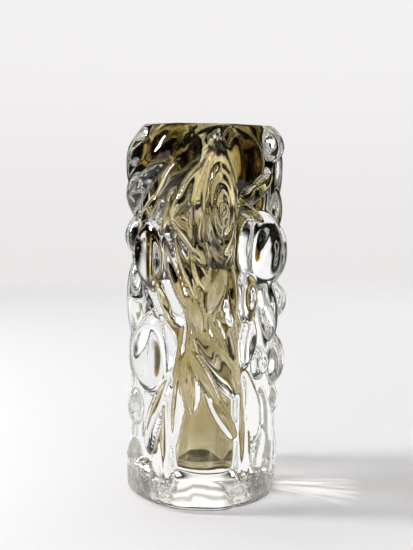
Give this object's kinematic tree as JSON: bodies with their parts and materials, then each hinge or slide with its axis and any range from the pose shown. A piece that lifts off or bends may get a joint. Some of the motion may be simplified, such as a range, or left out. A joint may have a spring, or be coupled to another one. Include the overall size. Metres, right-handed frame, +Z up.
{
  "type": "glass vase",
  "caption": "Tall heavy glass vase with an eight-sided foot, folded relief on its thick wall, a flat rim and an open cavity for flowers and water.",
  "frame": {"origin": "middle of the foot's flat underside", "axes": "+Z up along the vase's axis, the pictured side towards -Y, +X to the right in the picture"},
  "size_m": [0.1094, 0.1091, 0.25],
  "materials": {
    "glass": "polished clear glass with an olive tint at the cavity"
  },
  "bodies": {
    "root": {"vase": "glass"}
  },
  "joints": []
}
